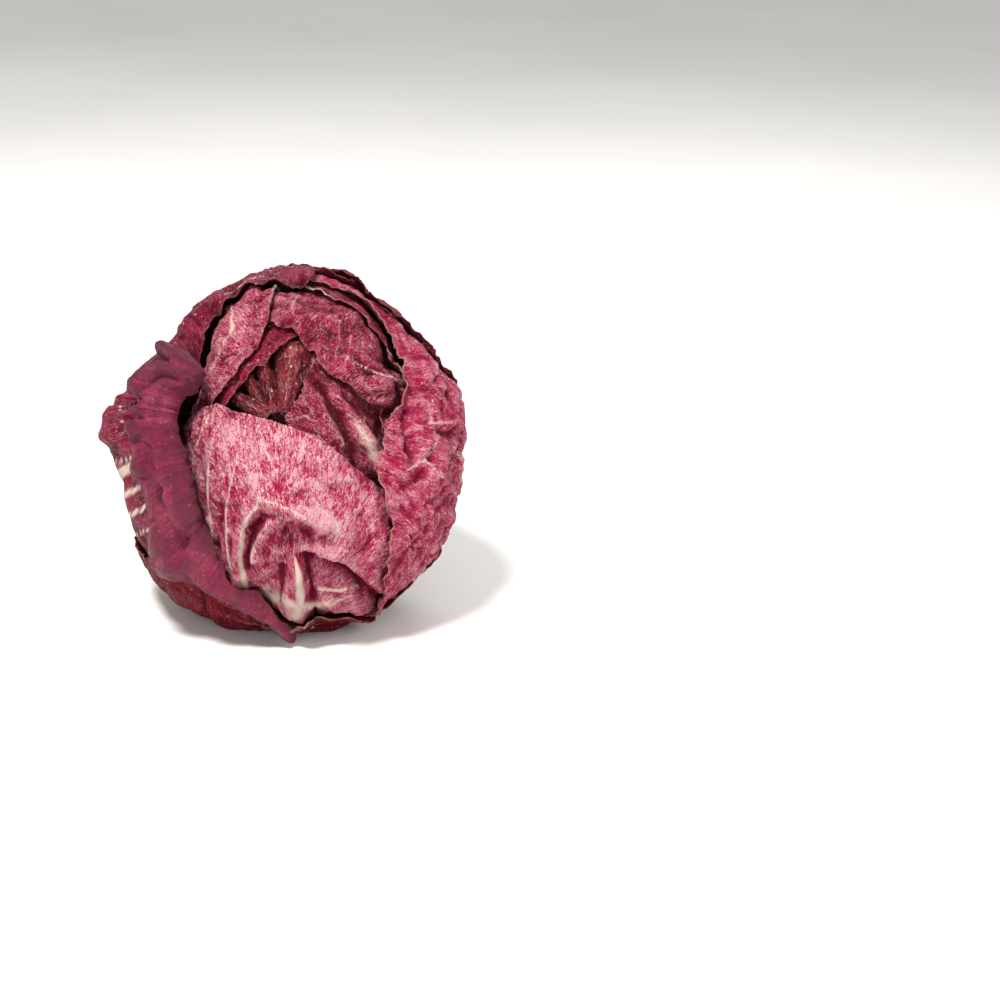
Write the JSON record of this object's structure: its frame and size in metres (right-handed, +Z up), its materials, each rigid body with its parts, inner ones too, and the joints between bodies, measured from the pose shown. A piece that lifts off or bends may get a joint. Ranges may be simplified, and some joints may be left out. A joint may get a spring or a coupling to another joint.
{
  "type": "radicchio head",
  "caption": "Round head of red radicchio lying on its side: overlapping crinkled leaves around a packed heart, with pale ribs and a cut stem.",
  "frame": {"origin": "bottom centre of the head's bounding box, on the surface it rests on", "axes": "+Z up; the open top of the head faces -Y and a little up, the cut stem faces +Y and down"},
  "size_m": [0.1296, 0.1276, 0.127],
  "materials": {
    "heart": "matt, dark crimson with brown flecks",
    "inner_leaf": "satin, magenta with fine pale flecks and creamy ribs",
    "outer_leaf": "satin, dark purple with creamy ribs",
    "stem": "matt, cream, browned on the cut face"
  },
  "bodies": {
    "root": {"heart": "heart", "stem": "stem", "leaf_heart_right": "inner_leaf", "leaf_heart_left": "inner_leaf", "leaf_heart_upper_right": "inner_leaf", "leaf_heart_upper_left": "inner_leaf", "leaf_front": "inner_leaf", "leaf_right_inner": "inner_leaf", "leaf_right": "inner_leaf", "leaf_left": "outer_leaf", "leaf_top": "outer_leaf", "leaf_upper_right": "outer_leaf", "leaf_left_back": "outer_leaf", "leaf_bottom": "outer_leaf"}
  },
  "joints": []
}
